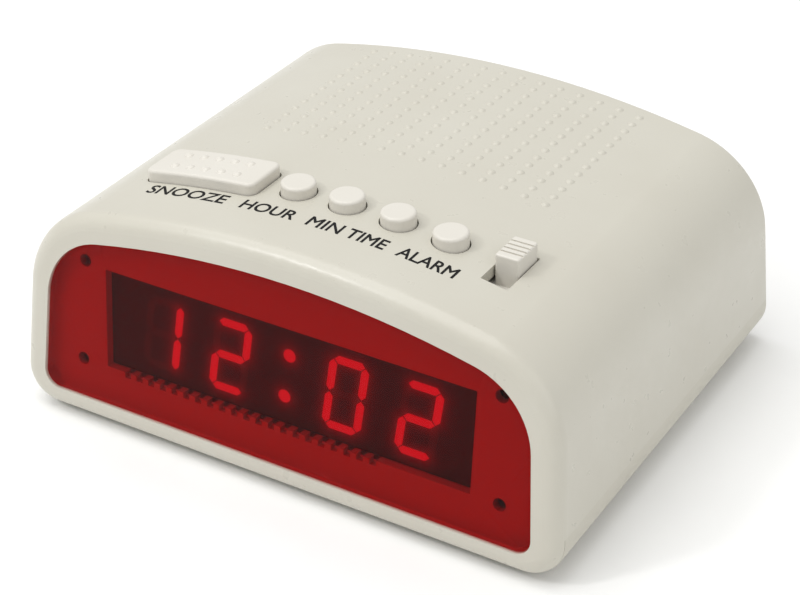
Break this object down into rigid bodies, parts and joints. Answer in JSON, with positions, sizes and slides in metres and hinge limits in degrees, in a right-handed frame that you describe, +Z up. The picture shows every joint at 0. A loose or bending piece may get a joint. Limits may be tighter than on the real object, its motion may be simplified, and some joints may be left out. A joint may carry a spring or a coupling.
{
  "type": "digital alarm clock",
  "caption": "Arched digital alarm clock with a red display window, a row of top keys, a snooze bar, a slide switch and a battery door underneath.",
  "frame": {"origin": "centre of the clock's overall box, on the surface that it stands on", "axes": "+X to the right seen from the front, +Y from the display to the back, +Z up"},
  "size_m": [0.1089, 0.0881, 0.0474],
  "materials": {
    "housing": "fine moulded texture",
    "tray": "fine moulded texture",
    "red_lens": "polished, transparent",
    "display_body": "black face paint",
    "segments": "diffusing",
    "circuit_board": "lacquered phenolic paper",
    "tinned_metal": "tinned",
    "plated_steel": "zinc plated",
    "chip_body": "moulded epoxy",
    "capacitor_sleeve": "shrunk sleeve",
    "resistor_body": "lacquer",
    "core_steel": "stacked sheets",
    "bobbin_nylon": "moulded nylon",
    "winding_tape": "film tape",
    "plunger_plastic": "moulded",
    "key_plastic": "satin",
    "ribbon_vinyl": "vinyl",
    "lead_vinyl": "vinyl",
    "bush_vinyl": "soft vinyl",
    "foot_rubber": "matt",
    "label_ink": "printed ink",
    "glow_film": "smoked film"
  },
  "bodies": {
    "clock": {"case": "housing", "base": "tray", "lens": "red_lens", "display_housing": "display_body", "display_segments": "segments", "display_board": "circuit_board", "display_pins": "tinned_metal", "display_screws": "plated_steel", "main_board": "circuit_board", "main_board_screws": "plated_steel", "clock_chip": "chip_body", "capacitors": "capacitor_sleeve", "diodes": "chip_body", "resistors": "resistor_body", "transistors": "chip_body", "buzzer": "chip_body", "transformer_core": "core_steel", "transformer_bobbin": "bobbin_nylon", "transformer_winding": "winding_tape", "transformer_strap": "plated_steel", "transformer_screws": "plated_steel", "key_board": "circuit_board", "key_board_screws": "plated_steel", "key_switches": "chip_body", "slide_switch": "plated_steel", "display_cable": "ribbon_vinyl", "key_cable": "ribbon_vinyl", "battery_snap": "chip_body", "battery_leads": "lead_vinyl", "transformer_leads": "lead_vinyl", "cord_bush": "bush_vinyl", "case_screws": "plated_steel", "feet": "foot_rubber"},
    "hour_key": {"hour_button": "key_plastic", "hour_plunger": "plunger_plastic"},
    "minute_key": {"minute_button": "key_plastic", "minute_plunger": "plunger_plastic"},
    "time_key": {"time_button": "key_plastic", "time_plunger": "plunger_plastic"},
    "alarm_key": {"alarm_button": "key_plastic", "alarm_plunger": "plunger_plastic"},
    "snooze_key": {"snooze_bar": "key_plastic", "snooze_plunger": "plunger_plastic"},
    "alarm_switch": {"switch_knob": "key_plastic", "switch_lever": "plunger_plastic"},
    "door": {"battery_door": "tray"}
  },
  "joints": [
    {"name": "hour_press", "type": "slide", "parent": "clock", "child": "hour_key", "axis": [0, 0, -1], "range_m": [0, 0.0008], "stiffness_N_per_m": 1500},
    {"name": "minute_press", "type": "slide", "parent": "clock", "child": "minute_key", "axis": [0, 0, -1], "range_m": [0, 0.0008], "stiffness_N_per_m": 1500},
    {"name": "time_press", "type": "slide", "parent": "clock", "child": "time_key", "axis": [0, 0, -1], "range_m": [0, 0.0008], "stiffness_N_per_m": 1500},
    {"name": "alarm_press", "type": "slide", "parent": "clock", "child": "alarm_key", "axis": [0, 0, -1], "range_m": [0, 0.0008], "stiffness_N_per_m": 1500},
    {"name": "snooze_press", "type": "slide", "parent": "clock", "child": "snooze_key", "axis": [0, 0, -1], "range_m": [0, 0.0008], "stiffness_N_per_m": 1800},
    {"name": "alarm_switch_slide", "type": "slide", "parent": "clock", "child": "alarm_switch", "axis": [0, -1, 0], "range_m": [0, 0.004]},
    {"name": "battery_door_hinge", "type": "hinge", "parent": "clock", "child": "door", "pos_m": [-0.008, 0.016, 0.0018], "axis": [0, 1, 0], "range_deg": [0, 95]}
  ]
}
